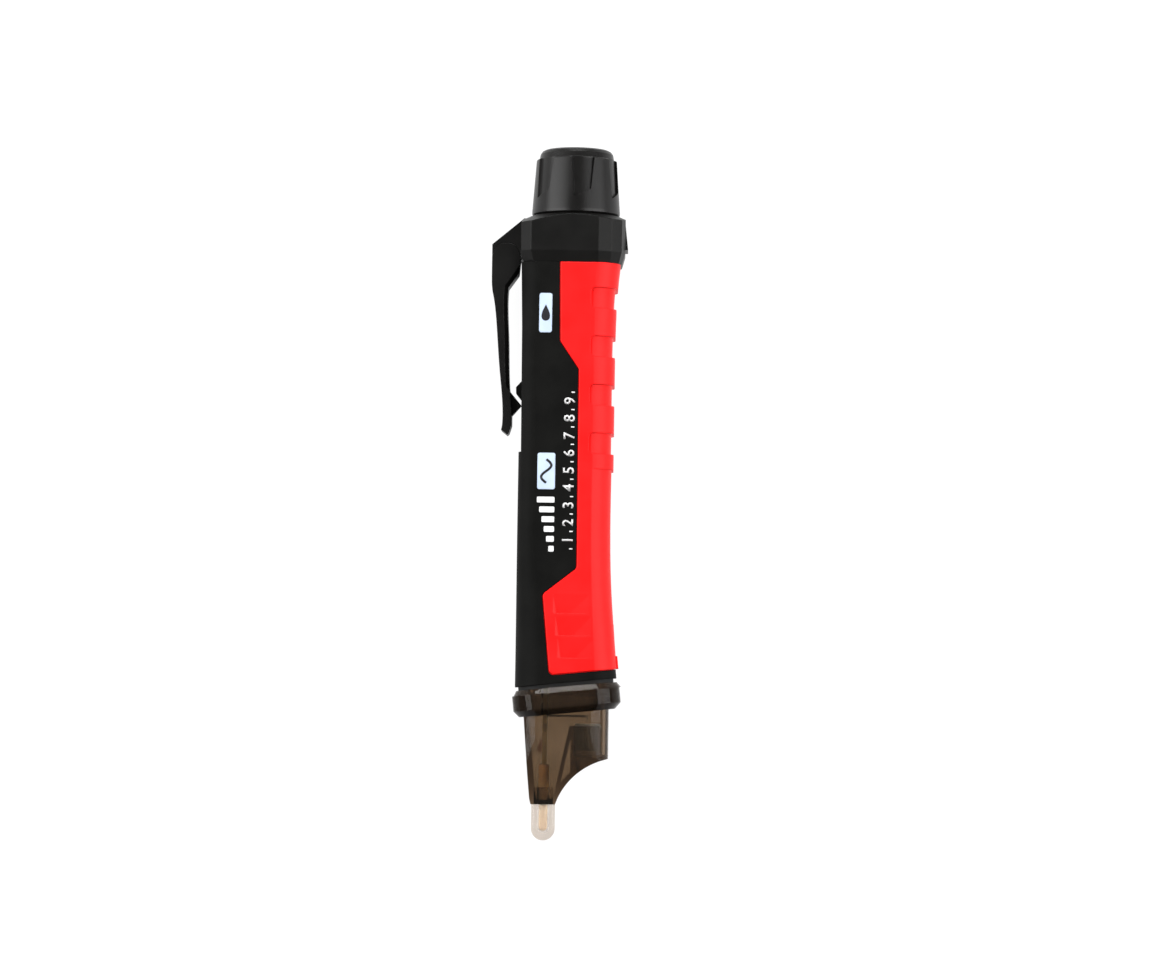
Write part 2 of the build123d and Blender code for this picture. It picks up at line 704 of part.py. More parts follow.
# ---------------------------------------------------------------- tail cap and its contacts
CUP_TOP = CAP_CROWN - 0.05
CUP_LOW = SPIGOT_TOP + 0.35
with BuildPart() as cup:
    add(
        turned(
            (
                (0, CUP_TOP),
                (CUP_R, CUP_TOP),
                (CUP_R, CUP_LOW),
                (CUP_R - CUP_T, CUP_LOW),
                (CUP_R - CUP_T, CUP_TOP - CUP_T),
                (0, CUP_TOP - CUP_T),
            )
        )
    )
cup.part.label = "Cap contact cup"
export_step(cup.part, "parts/cap_contact_cup.step")

SPRING_WIRE = 0.35
SPRING_R = 3.5
SPRING_LOW = CELL_END + 0.05 + SPRING_WIRE
SPRING_HIGH = CUP_TOP - CUP_T - SPRING_WIRE
SPRING_TURNS = 3.5
with BuildPart() as spring:
    with BuildLine() as coil:
        Helix(
            (SPRING_HIGH - SPRING_LOW) / SPRING_TURNS,
            SPRING_HIGH - SPRING_LOW,
            SPRING_R,
            center=(AXIS_X, SPRING_LOW - LENGTH / 2, HALF_WIDTH),
            direction=(0, 1, 0),
        )
    with BuildSketch(Plane(origin=coil.line @ 0, z_dir=coil.line % 0)):
        Circle(SPRING_WIRE)
    sweep(path=coil.line, is_frenet=True)
spring.part.label = "Cap spring"
export_step(spring.part, "parts/cap_spring.step")

SEAL_MINOR = 0.75
with BuildPart() as seal:
    with BuildSketch(side(0)):
        with Locations((GROOVE_R + SEAL_MINOR, (GROOVE_LOW + GROOVE_TOP) / 2)):
            Circle(SEAL_MINOR)
    revolve(axis=PEN_AXIS)
seal.part.label = "Cap seal ring"
export_step(seal.part, "parts/cap_seal_ring.step")

LEDGE = 157.5
LAND_R = CAP_R_TOP - 0.02
FLOOR_R_TOP = 8.75
FLOOR_R_LOW = 9.45
RECESS_LOW = 148.4
RECESS_DEEP = 7.0  # height over the axis where the cutter starts
RECESS_DRAFT = 0.7  # lean of the long wall per millimetre of height
with BuildPart() as cap:
    add(
        turned(
            (
                (0, LENGTH - 0.4),
                (5.4, LENGTH - 0.4),
                (6.2, LENGTH),
                (7.3, LENGTH),
                (8.0, LENGTH - 0.35),
                (8.45, LENGTH - 1.0),
                (FLOOR_R_TOP - 0.1, LEDGE + 0.35),
                (LAND_R - 0.2, LEDGE + 0.2),
                (LAND_R, LEDGE),
                (CAP_R_LOW - 0.05, CAP_LOW + 1.6),
                (CAP_R_LOW, CAP_LOW + 0.9),
                (CAP_R_LOW, CAP_LOW + 0.3),
                (CAP_R_LOW - 0.3, CAP_LOW),
                (0, CAP_LOW),
            )
        )
    )
    # grip recesses: one long leaning wall, one short wall and a slanted foot, open at the shoulder
    floor = turned(
        (
            (0, RECESS_LOW - 2),
            (FLOOR_R_LOW, RECESS_LOW - 2),
            (FLOOR_R_LOW, RECESS_LOW),
            (FLOOR_R_TOP, LEDGE),
            (FLOOR_R_TOP, LENGTH + 2),
            (0, LENGTH + 2),
        )
    )
    with BuildPart(mode=Mode.PRIVATE) as recess:
        for height in (RECESS_DEEP, HALF_WIDTH):
            lean = RECESS_DRAFT * (FLOOR_R_TOP - height)
            cutter_origin = across(0).origin + (0, 0, height)
            with BuildSketch(Plane(origin=cutter_origin, x_dir=(1, 0, 0), z_dir=(0, 0, 1))):
                with BuildLine():
                    Polyline(
                        (lean - 0.8, LEDGE + 0.5),
                        (lean + 0.3, RECESS_LOW),
                        (lean + 0.7, RECESS_LOW + 0.1),
                        (3.5, RECESS_LOW + 1.8),
                        (4.2, LEDGE + 0.5),
                        close=True,
                    )
                make_face()
        loft(ruled=True)
        add(floor, mode=Mode.SUBTRACT)
    for k in range(GRIP_COUNT):
        add(recess.part.rotate(PEN_AXIS, 360 * k / GRIP_COUNT), mode=Mode.SUBTRACT)
    add(rod(CAP_BORE_R, CAP_LOW - 1, SPIGOT_TOP + 1), mode=Mode.SUBTRACT)
    add(rod(CUP_BORE_R, SPIGOT_TOP, CAP_CROWN), mode=Mode.SUBTRACT)
    add(
        helix_ridge(
            CAP_BORE_R + 0.1,
            CAP_BORE_R - THREAD_DEPTH,
            THREAD_START + PITCH / 2,
            THREAD_TURNS - 0.3,
        )
    )
cap.part.label = "Tail cap"
export_step(cap.part, "parts/tail_cap.step")

# ---------------------------------------------------------------- clip collar
COLLAR_FRONT = 12.4
COLLAR_BACK = 11.6
COLLAR_BEVEL = 2.3
COLLAR_CREASE = -5.4
COLLAR_BACK_FLAT = 5.0
COLLAR_FACETS = 3  # faces that make each back corner
COLLAR_FOOT = 2.6  # height of the lower bevel, and its inset
COLLAR_FOOT_INSET = 0.75
COLLAR_CROWN_R = 10.3  # the cone over the top edge, its fall per millimetre outwards and its reach
COLLAR_CROWN_FALL = 0.45
COLLAR_CROWN_REACH = 6.0
ARCH_TOP = COLLAR_TOP - 0.9
LUG_HALF = 4.5


def collar_face(station, inset):
    """Collar cross-section: bevelled front corners and faceted back corners."""
    half = HALF_WIDTH - inset
    face = COLLAR_FRONT - inset
    back = inset - COLLAR_BACK
    points = [(face, half - COLLAR_BEVEL), (face - COLLAR_BEVEL, half)]
    for k in range(COLLAR_FACETS + 1):
        turn = radians(90 * k / COLLAR_FACETS)
        f = COLLAR_CREASE + (back - COLLAR_CREASE) * sin(turn)
        points.append((f, COLLAR_BACK_FLAT + (half - COLLAR_BACK_FLAT) * cos(turn)))
    opposite = [(f, -s) for f, s in reversed(points)]
    with BuildSketch(across(station)) as drawn:
        with BuildLine():
            Polyline(*points, *opposite, close=True)
        make_face()
    return drawn.sketch


with BuildPart() as collar:
    foot = collar_face(COLLAR_LOW + COLLAR_FOOT, 0)
    loft([collar_face(COLLAR_LOW, COLLAR_FOOT_INSET), foot], ruled=True)
    loft([foot, collar_face(COLLAR_TOP, 0)], ruled=True)
    with BuildSketch(side(0)):
        with BuildLine():
            Polyline(
                (0, COLLAR_TOP),
                (COLLAR_CROWN_R, COLLAR_TOP),
                (COLLAR_CROWN_R + COLLAR_CROWN_REACH, COLLAR_TOP - COLLAR_CROWN_FALL * COLLAR_CROWN_REACH),
                (COLLAR_CROWN_R + COLLAR_CROWN_REACH, COLLAR_LOW),
                (0, COLLAR_LOW),
                close=True,
            )
        make_face()
    revolve(axis=PEN_AXIS, mode=Mode.INTERSECT)
    # lug on the back and arch that carries the clip
    add(plate(((-11, 142.4), (-11.6, 142.4), (-12.25, 136.6), (-11, 136.6)), LUG_HALF))
    add(
        plate(
            (
                (11.0, ARCH_TOP),
                (11.9, ARCH_TOP),
                (CLIP_REACH, 137.5),
                (CLIP_REACH, KNUCKLE_STATION + 0.35),
                (KNUCKLE_F, KNUCKLE_STATION + 0.35),
                (KNUCKLE_F - KNUCKLE_R, KNUCKLE_STATION - 0.6),
                (11.0, KNUCKLE_STATION - 0.6),
            ),
            CLIP_ROOT_HALF,
        )
    )
    with BuildSketch(side(0)):
        with Locations((KNUCKLE_F, KNUCKLE_STATION)):
            Circle(KNUCKLE_R + KNUCKLE_FIT)
    extrude(amount=HALF_WIDTH + 1, both=True, mode=Mode.SUBTRACT)
    add(rod(NECK_R, COLLAR_LOW - 1, COLLAR_TOP + 1), mode=Mode.SUBTRACT)
collar.part.label = "Clip collar"
export_step(collar.part, "parts/clip_collar.step")

# ---------------------------------------------------------------- clip arm
CLIP_FOOT = 93.5
with BuildPart() as clip:
    with BuildSketch(side(0)):
        with BuildLine():
            Line((KNUCKLE_F - KNUCKLE_R, KNUCKLE_STATION), (12.95, 130.9))
            Line((12.95, 130.9), (15.3, 127.6))
            Spline((15.3, 127.6), (15.1, 116.0), (14.6, 103.6), tangents=((0.1, -1), (-0.1, -1)))
            Polyline(
                (14.6, 103.6),
                (11.95, 100.4),
                (14.1, 97.9),
                (14.1, 95.8),
                (14.7, 93.9),
                (15.1, CLIP_FOOT),
            )
            Line((15.1, CLIP_FOOT), (16.5, 94.6))
            Spline(
                (16.5, 94.6),
                (16.2, 97.4),
                (17.1, 109.0),
                (18.7, 125.3),
                (CLIP_REACH, 130.0),
                tangents=((-0.3, 1), (0, 1)),
            )
            Line((CLIP_REACH, 130.0), (KNUCKLE_F + KNUCKLE_R, KNUCKLE_STATION))
            Line((KNUCKLE_F + KNUCKLE_R, KNUCKLE_STATION), (KNUCKLE_F - KNUCKLE_R, KNUCKLE_STATION))
        make_face()
        with Locations((KNUCKLE_F, KNUCKLE_STATION)):
            Circle(KNUCKLE_R)
    extrude(amount=CLIP_ROOT_HALF, both=True)
    # tapered sides, and a hook that is only a rib in the middle
    for sign in (-1, 1):
        with BuildPart(mode=Mode.PRIVATE) as flank:
            with BuildSketch(front(10)):
                with BuildLine():
                    Polyline(
                        (sign * CLIP_ROOT_HALF, 131.0),
                        (sign * CLIP_FOOT_HALF, CLIP_FOOT - 1),
                        (sign * (CLIP_ROOT_HALF + 1), CLIP_FOOT - 1),
                        (sign * (CLIP_ROOT_HALF + 1), 131.0),
                        close=True,
                    )
                make_face()
            extrude(amount=12)
        add(flank.part, mode=Mode.SUBTRACT)
        add(
            plate(((14.55, 103.5), (11, 103.5), (11, 97.9), (14.1, 97.9)), 2).translate((0, 0, sign * 3.3)),
            mode=Mode.SUBTRACT,
        )
    chamfer(
        [
            edge
            for edge in edges()
            if abs(abs(edge.center().Z - HALF_WIDTH) - CLIP_ROOT_HALF) < 0.8
            and edge.length > 3
            and 105 < edge.center().Y + LENGTH / 2 < 133
            and AXIS_X - edge.center().X < 16
        ],
        0.9,
    )
clip.part.label = "Clip arm"
export_step(clip.part, "parts/clip_arm.step")
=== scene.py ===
import json
import math

import bmesh
import bpy
from mathutils import Matrix, Vector
from mathutils.bvhtree import BVHTree


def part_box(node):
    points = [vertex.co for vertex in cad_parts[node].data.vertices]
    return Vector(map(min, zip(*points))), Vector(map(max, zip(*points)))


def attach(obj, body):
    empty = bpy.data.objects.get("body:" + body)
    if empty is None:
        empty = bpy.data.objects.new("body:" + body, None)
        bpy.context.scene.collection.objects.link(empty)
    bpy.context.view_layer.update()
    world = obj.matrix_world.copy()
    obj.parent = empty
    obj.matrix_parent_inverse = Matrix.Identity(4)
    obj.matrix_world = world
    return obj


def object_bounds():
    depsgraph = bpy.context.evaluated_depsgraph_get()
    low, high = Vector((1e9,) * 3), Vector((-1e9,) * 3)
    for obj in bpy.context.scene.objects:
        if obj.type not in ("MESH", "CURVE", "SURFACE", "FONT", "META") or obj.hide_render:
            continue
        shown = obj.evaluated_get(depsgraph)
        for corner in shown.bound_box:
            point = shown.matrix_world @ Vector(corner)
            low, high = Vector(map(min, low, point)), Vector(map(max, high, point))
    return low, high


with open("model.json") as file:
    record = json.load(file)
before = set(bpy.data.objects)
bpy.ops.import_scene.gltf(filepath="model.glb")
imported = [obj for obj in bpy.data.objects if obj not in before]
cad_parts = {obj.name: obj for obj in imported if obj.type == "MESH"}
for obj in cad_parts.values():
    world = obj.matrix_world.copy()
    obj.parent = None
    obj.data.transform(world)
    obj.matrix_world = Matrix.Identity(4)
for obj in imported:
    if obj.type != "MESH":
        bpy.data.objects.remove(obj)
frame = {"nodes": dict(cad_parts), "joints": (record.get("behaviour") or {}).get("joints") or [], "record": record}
cad_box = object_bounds()

MM = 0.001
cap_spin = next(joint for joint in frame["joints"] if joint["name"] == "cap_spin")
AXIS_X = cap_spin["pos_m"][0]
AXIS_Z = cap_spin["pos_m"][2]
TIP_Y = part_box("sensing_tip")[0].y


def at(f, station, s=0.0):
    """Point from three distances in millimetres: f from the pen's axis towards the clip, station from the
    tip along the pen, and s from the axis towards the printed side."""
    return Vector((AXIS_X - f * MM, TIP_Y + station * MM, AXIS_Z + s * MM))


# ---------------------------------------------------------------- nodes that the materials share
# A noise scale is in patches per metre. Depths and radii are in metres.
RELIEF_STRENGTH = 0.2
BEVEL_SAMPLES = 6


def material(name):
    """Empty node material with one Principled shader."""
    mat = bpy.data.materials.new(name)
    mat.use_nodes = True
    tree = mat.node_tree
    tree.nodes.clear()
    out = tree.nodes.new("ShaderNodeOutputMaterial")
    shader = tree.nodes.new("ShaderNodeBsdfPrincipled")
    tree.links.new(shader.outputs[0], out.inputs[0])
    return mat, tree, shader


def coordinates(tree, scale=(1, 1, 1)):
    """Place on the object, stretched by a scale along each axis."""
    coord = tree.nodes.new("ShaderNodeTexCoord")
    mapping = tree.nodes.new("ShaderNodeMapping")
    mapping.inputs["Scale"].default_value = scale
    tree.links.new(coord.outputs["Object"], mapping.inputs["Vector"])
    return mapping.outputs["Vector"]


def noise(tree, vector, scale, detail=3.0, rough=0.5):
    """Cloudy value from 0 to 1."""
    node = tree.nodes.new("ShaderNodeTexNoise")
    node.inputs["Scale"].default_value = scale
    node.inputs["Detail"].default_value = detail
    node.inputs["Roughness"].default_value = rough
    tree.links.new(vector, node.inputs["Vector"])
    return node.outputs["Fac"]


def ramp(tree, value, low, high, start=0.35, end=0.65):
    """Colour that turns from low to high as the value goes from start to end."""
    node = tree.nodes.new("ShaderNodeValToRGB")
    node.color_ramp.elements[0].position = start
    node.color_ramp.elements[0].color = (*low, 1)
    node.color_ramp.elements[1].position = end
    node.color_ramp.elements[1].color = (*high, 1)
    tree.links.new(value, node.inputs[0])
    return node.outputs["Color"]


def span(tree, value, low, high):
    """Value from 0 to 1 moved to the range from low to high."""
    node = tree.nodes.new("ShaderNodeMapRange")
    node.inputs["To Min"].default_value = low
    node.inputs["To Max"].default_value = high
    tree.links.new(value, node.inputs["Value"])
    return node.outputs[0]


def bump(tree, shader, height, depth, strength=RELIEF_STRENGTH):
    """Relief in the shading. Depth is what the surface rises by as the height goes from 0 to 1."""
    node = tree.nodes.new("ShaderNodeBump")
    node.inputs["Strength"].default_value = strength
    node.inputs["Distance"].default_value = depth
    tree.links.new(height, node.inputs["Height"])
    tree.links.new(node.outputs["Normal"], shader.inputs["Normal"])
    return node


def soften(tree, relief, radius):
    """Round sharp edges by a small radius in the shading under the relief."""
    node = tree.nodes.new("ShaderNodeBevel")
    node.samples = BEVEL_SAMPLES
    node.inputs["Radius"].default_value = radius
    tree.links.new(node.outputs[0], relief.inputs["Normal"])


# ---------------------------------------------------------------- kinds of material
MOTTLE_SCALE = 140
GRAIN_STRENGTH = 0.35
WEAVE_SCALE = 900
WEAVE_DEPTH = 0.01 * MM
DRAWN_SCALE = 1000
DRAWN_STRETCH = (0.4, 4.0, 0.4)
DRAWN_DEPTH = 0.01 * MM
HAZE_SCALE = 160
RIPPLE_SCALE = 900
RIPPLE_DEPTH = 0.02 * MM
RIPPLE_STRENGTH = 0.15


def moulded(name, dark, light, rough, gloss=0.3, grain=2600, depth=0.02 * MM, edge=0.25 * MM):
    """Moulded plastic, rubber or ink: fine grain, faint mottling, uneven gloss and rounded edges."""
    mat, tree, shader = material(name)
    vector = coordinates(tree)
    cloud = noise(tree, vector, MOTTLE_SCALE, detail=4)
    tree.links.new(ramp(tree, cloud, dark, light), shader.inputs["Base Color"])
    tree.links.new(span(tree, cloud, *rough), shader.inputs["Roughness"])
    fine = noise(tree, vector, grain, detail=2, rough=0.6)
    relief = bump(tree, shader, fine, depth, GRAIN_STRENGTH)
    soften(tree, relief, edge)
    shader.inputs["Specular IOR Level"].default_value = gloss
    return mat


def laminate(name, edge, lacquer, rough):
    """Circuit board: lacquered faces square to X, and pale bare edges."""
    mat, tree, shader = material(name)
    geometry = tree.nodes.new("ShaderNodeNewGeometry")
    axes = tree.nodes.new("ShaderNodeSeparateXYZ")
    tree.links.new(geometry.outputs["Normal"], axes.inputs[0])
    facing = tree.nodes.new("ShaderNodeMath")
    facing.operation = "ABSOLUTE"
    tree.links.new(axes.outputs["X"], facing.inputs[0])
    colour = ramp(tree, facing.outputs[0], edge, lacquer, start=0.45, end=0.55)
    tree.links.new(colour, shader.inputs["Base Color"])
    weave = noise(tree, coordinates(tree), WEAVE_SCALE, detail=2)
    tree.links.new(span(tree, weave, *rough), shader.inputs["Roughness"])
    bump(tree, shader, weave, WEAVE_DEPTH)
    return mat


def metal(name, dark, light, rough):
    """Plated or drawn metal, with fine lines across the pen."""
    mat, tree, shader = material(name)
    lines = noise(tree, coordinates(tree, DRAWN_STRETCH), DRAWN_SCALE, detail=2)
    tree.links.new(ramp(tree, lines, dark, light), shader.inputs["Base Color"])
    tree.links.new(span(tree, lines, *rough), shader.inputs["Roughness"])
    shader.inputs["Metallic"].default_value = 1.0
    bump(tree, shader, lines, DRAWN_DEPTH)
    return mat


def clear(name, dark, light, rough, transmission=1.0, ior=1.5, gloss=0.5):
    """Transparent plastic, slightly cloudy and rippled."""
    mat, tree, shader = material(name)
    vector = coordinates(tree)
    cloud = noise(tree, vector, HAZE_SCALE)
    tree.links.new(ramp(tree, cloud, dark, light), shader.inputs["Base Color"])
    tree.links.new(span(tree, cloud, *rough), shader.inputs["Roughness"])
    shader.inputs["Transmission Weight"].default_value = transmission
    shader.inputs["IOR"].default_value = ior
    shader.inputs["Specular IOR Level"].default_value = gloss
    ripple = noise(tree, vector, RIPPLE_SCALE, detail=2)
    bump(tree, shader, ripple, RIPPLE_DEPTH, RIPPLE_STRENGTH)
    return mat


def fill(mat, colour, density):
    """Let a transparent plastic absorb light in its thickness too."""
    tree = mat.node_tree
    absorb = tree.nodes.new("ShaderNodeVolumeAbsorption")
    absorb.inputs["Color"].default_value = (*colour, 1)
    absorb.inputs["Density"].default_value = density
    out = next(node for node in tree.nodes if node.type == "OUTPUT_MATERIAL")
    tree.links.new(absorb.outputs[0], out.inputs["Volume"])


NOSE_LEAN = math.radians(6.0)  # tilt of the nose's collar
NOSE_COLLAR = (29.4, 35.6)  # stations of its lower and upper face on the pen's axis
PAINTED_SHADE_BELOW = 1.0  # painted shade: factor on the nose's colour below the collar
PAINTED_SHADE_ABOVE = 0.95  # and above it
# painted shade across the collar: a share of its height and the factor on the nose's colour there
PAINTED_COLLAR_SHADES = (
    (0.01, 0.12),
    (0.21, 0.16),
    (0.25, 0.52),
    (0.76, 0.60),
    (0.81, 0.95),
)


def darken_collar(mat):
    """Paint shade into the nose's colour in its collar. A shade is a share of the collar's height, and the factor
    on the colour there. The painted shade is darkest in the lower bevel, and the upper bevel is pale again."""
    tree = mat.node_tree
    shader = next(node for node in tree.nodes if node.type == "BSDF_PRINCIPLED")
    plain = shader.inputs["Base Color"].links[0].from_socket
    up_collar = Vector((-math.sin(NOSE_LEAN), math.cos(NOSE_LEAN), 0))
    along = tree.nodes.new("ShaderNodeVectorMath")
    along.operation = "DOT_PRODUCT"
    along.inputs[1].default_value = up_collar
    tree.links.new(coordinates(tree), along.inputs[0])
    height = tree.nodes.new("ShaderNodeMapRange")
    height.inputs["From Min"].default_value = at(0, NOSE_COLLAR[0]).dot(up_collar)
    height.inputs["From Max"].default_value = at(0, NOSE_COLLAR[1]).dot(up_collar)
    tree.links.new(along.outputs["Value"], height.inputs["Value"])
    shade = tree.nodes.new("ShaderNodeValToRGB")
    stops = shade.color_ramp.elements
    stops[0].color = (PAINTED_SHADE_BELOW, PAINTED_SHADE_BELOW, PAINTED_SHADE_BELOW, 1)
    stops[1].color = (PAINTED_SHADE_ABOVE, PAINTED_SHADE_ABOVE, PAINTED_SHADE_ABOVE, 1)
    for share, factor in PAINTED_COLLAR_SHADES:
        stop = stops.new(share)
        stop.color = (factor, factor, factor, 1)
    tree.links.new(height.outputs[0], shade.inputs[0])
    # the nose's colour times the painted shade
    shaded_colour = tree.nodes.new("ShaderNodeVectorMath")
    shaded_colour.operation = "MULTIPLY"
    tree.links.new(plain, shaded_colour.inputs[0])
    tree.links.new(shade.outputs["Color"], shaded_colour.inputs[1])
    tree.links.new(shaded_colour.outputs["Vector"], shader.inputs["Base Color"])


# ---------------------------------------------------------------- the materials
BLACK = moulded(
    "black_moulding",
    dark=(0.0032, 0.0032, 0.0029),
    light=(0.0052, 0.0052, 0.0047),
    rough=(0.55, 0.65),
    gloss=0.06,
)
CLIP = moulded(
    "clip_moulding",
    dark=(0.0032, 0.0031, 0.0028),
    light=(0.0052, 0.0050, 0.0046),
    rough=(0.36, 0.46),
    gloss=0.16,
    edge=0.3 * MM,
)
SATIN = moulded(
    "satin_moulding",
    dark=(0.0038, 0.0035, 0.0033),
    light=(0.0060, 0.0056, 0.0052),
    rough=(0.30, 0.38),
    gloss=0.24,
    grain=3600,
    depth=0.01 * MM,
    edge=0.08 * MM,
)
RED = moulded(
    "red_overmould",
    dark=(0.84, 0.006, 0.006),
    light=(0.92, 0.009, 0.009),
    rough=(0.42, 0.50),
    gloss=0.14,
    grain=3000,
    depth=0.01 * MM,
)
SEAL = moulded("seal_rubber", dark=(0.005, 0.005, 0.005), light=(0.008, 0.008, 0.008), rough=(0.6, 0.75))
SMOKE = clear(
    "smoky_clear",
    dark=(0.42, 0.345, 0.262),
    light=(0.48, 0.395, 0.305),
    rough=(0.04, 0.08),
    transmission=0.97,
    ior=1.18,
    gloss=0.12,
)
fill(SMOKE, colour=(0.36, 0.24, 0.13), density=280)
# painted shade on the nose's collar, darkest in its lower bevel
darken_collar(SMOKE)
TIP = clear(
    "tip_clear",
    dark=(0.92, 0.90, 0.88),
    light=(0.97, 0.96, 0.94),
    rough=(0.05, 0.10),
    transmission=0.92,
    ior=1.22,
    gloss=0.25,
)
fill(TIP, colour=(0.54, 0.41, 0.285), density=210)
# painted glint: the clear torch lens is coloured near-white and opaque so that its rim shows as a bright line
LENS_PAINTED_GLINT = moulded(
    "lens_painted_glint",
    dark=(0.93, 0.93, 0.90),
    light=(0.99, 0.99, 0.97),
    rough=(0.15, 0.25),
    gloss=0.8,
    grain=2000,
)
LAMP = clear("lamp_clear", dark=(0.9, 0.9, 0.88), light=(0.95, 0.95, 0.93), rough=(0.05, 0.1))
LAMP_RED = clear(
    "lamp_red",
    dark=(0.62, 0.40, 0.34),
    light=(0.70, 0.46, 0.40),
    rough=(0.1, 0.15),
    transmission=0.8,
)
PROBE = moulded(
    "probe_plating",
    dark=(0.98, 0.70, 0.43),
    light=(1.0, 0.81, 0.56),
    rough=(0.3, 0.45),
    gloss=0.5,
    grain=2400,
)
BRASS = metal("brass", dark=(0.72, 0.45, 0.20), light=(0.86, 0.58, 0.29), rough=(0.22, 0.35))
PLATED = metal("plated", dark=(0.62, 0.62, 0.63), light=(0.75, 0.75, 0.76), rough=(0.15, 0.3))
STEEL = metal("spring_steel", dark=(0.45, 0.45, 0.46), light=(0.58, 0.58, 0.59), rough=(0.25, 0.4))
REFLECTOR = moulded(
    "reflector_shell",
    dark=(0.44, 0.62, 0.80),
    light=(0.54, 0.74, 0.94),
    rough=(0.3, 0.45),
    gloss=0.6,
    grain=1500,
)
BOARD = laminate("board_lacquer", edge=(0.55, 0.50, 0.30), lacquer=(0.012, 0.07, 0.028), rough=(0.25, 0.40))
COMPONENT = moulded("component", dark=(0.012, 0.012, 0.013), light=(0.02, 0.02, 0.021), rough=(0.4, 0.5))
CELL = moulded(
    "cell_sleeve",
    dark=(0.02, 0.08, 0.20),
    light=(0.03, 0.11, 0.26),
    rough=(0.25, 0.35),
    grain=1200,
)
INK_GRAIN = 1800
INK_WHITE = moulded(
    "white_ink",
    dark=(0.78, 0.78, 0.78),
    light=(0.86, 0.86, 0.86),
    rough=(0.5, 0.6),
    grain=INK_GRAIN,
)
INK_DARK = moulded(
    "dark_ink",
    dark=(0.01, 0.01, 0.012),
    light=(0.016, 0.016, 0.018),
    rough=(0.45, 0.55),
    grain=INK_GRAIN,
)
INK_BLUE = moulded(
    "blue_ink",
    dark=(0.46, 0.56, 0.72),
    light=(0.54, 0.64, 0.80),
    rough=(0.5, 0.6),
    grain=INK_GRAIN,
)

SLOT_MATERIALS = {
    "black_body": BLACK,
    "red_grip": RED,
    "satin_black": SATIN,
    "smoky_clear": SMOKE,
    "tip_clear": TIP,
    "seal_rubber": SEAL,
    "brass": BRASS,
    "plated": PLATED,
    "spring_steel": STEEL,
    "reflector": REFLECTOR,
    "lens_clear": LENS_PAINTED_GLINT,
    "lamp_clear": LAMP,
    "lamp_red": LAMP_RED,
    "board": BOARD,
    "component": COMPONENT,
    "cell": CELL,
}
NODE_MATERIALS = {"clip_collar": CLIP, "clip_arm": CLIP, "sensor_probe": PROBE}
for part in frame["record"]["subparts"]:
    finish = NODE_MATERIALS.get(part["node"], SLOT_MATERIALS[part["material_slot"]])
    cad_mesh = frame["nodes"][part["node"]].data
    cad_mesh.materials.clear()
    cad_mesh.materials.append(finish)

# ---------------------------------------------------------------- printed marks on the side panel
# The marks are generic and stand in for the printing in the photograph. They are laid out in millimetres:
# a point is (station, f), where f is the distance from the pen's axis towards the clip.
INK_DEPTH = 0.03 * MM
PANEL_CLEARANCE = 10 * MM
barrel_mesh = frame["nodes"]["barrel"].data
panel = BVHTree.FromPolygons(
    [vertex.co for vertex in barrel_mesh.vertices],
    [polygon.vertices for polygon in barrel_mesh.polygons],
)


def surface_z(x, y):
    """Height of the barrel's side panel at a place."""
    above = Vector((x, y, cad_box[1].z + PANEL_CLEARANCE))
    return panel.ray_cast(above, Vector((0, 0, -1)))[0].z


def add_piece(name, data, body):
    """Put a new piece in the scene, on the body that it rides on."""
    piece = bpy.data.objects.new(name, data)
    bpy.context.scene.collection.objects.link(piece)
    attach(piece, body)
    return piece


def print_on_panel(name, outlines, ink, layer=1):
    """Flat shapes laid on the side panel as a thin film of ink. Layer 2 lies on top of layer 1."""
    bm = bmesh.new()
    for outline in outlines:
        top = []
        low = []
        for station, f in outline:
            place = at(f, station)
            z = surface_z(place.x, place.y)
            top.append(bm.verts.new((place.x, place.y, z + layer * INK_DEPTH)))
            low.append(bm.verts.new((place.x, place.y, z - INK_DEPTH)))
        bm.faces.new(top)
        bm.faces.new(reversed(low))
        for here in range(len(top)):
            after = (here + 1) % len(top)
            bm.faces.new((top[here], low[here], low[after], top[after]))
    bmesh.ops.recalc_face_normals(bm, faces=bm.faces)
    mesh = bpy.data.meshes.new(name)
    bm.to_mesh(mesh)
    bm.free()
    mesh.materials.append(ink)
    add_piece(name, mesh, "housing")


FIGURE_WEIGHT = 0.012
FIGURE_RESOLUTION = 4


def figure(name, text, station, f, height, ink):
    """Generic figure that reads up the pen, its baseline at f, centred on a station of the side panel."""
    curve = bpy.data.curves.new(name, "FONT")
    curve.body = text
    curve.offset = FIGURE_WEIGHT
    curve.resolution_u = FIGURE_RESOLUTION
    source = bpy.data.objects.new(name + "_source", curve)
    bpy.context.scene.collection.objects.link(source)
    bpy.context.view_layer.update()
    graph = bpy.context.evaluated_depsgraph_get()
    mesh = bpy.data.meshes.new_from_object(source.evaluated_get(graph))
    bpy.data.objects.remove(source)
    across = [vertex.co.x for vertex in mesh.vertices]
    middle = (min(across) + max(across)) / 2
    scale = height * MM / max(vertex.co.y for vertex in mesh.vertices)
    start = at(f, station)
    for vertex in mesh.vertices:
        x = start.x - vertex.co.y * scale
        y = start.y + (vertex.co.x - middle) * scale
        vertex.co = (x, y, surface_z(x, y) + INK_DEPTH)
    mesh.name = name
    mesh.materials.clear()
    mesh.materials.append(ink)
    piece = add_piece(name, mesh, "housing")
    film = piece.modifiers.new("film", "SOLIDIFY")
    film.thickness = 2 * INK_DEPTH
    film.offset = 0


def rounded(stations, reach, radius, steps=5):
    """Rounded rectangle between two stations and two f."""
    corners = (
        (stations[1] - radius, reach[1] - radius),
        (stations[0] + radius, reach[1] - radius),
        (stations[0] + radius, reach[0] + radius),
        (stations[1] - radius, reach[0] + radius),
    )
    points = []
    for turn, (station, f) in enumerate(corners):
        for step in range(steps + 1):
            angle = math.radians(90 * (turn + step / steps))
            points.append((station + radius * math.cos(angle), f + radius * math.sin(angle)))
    return points


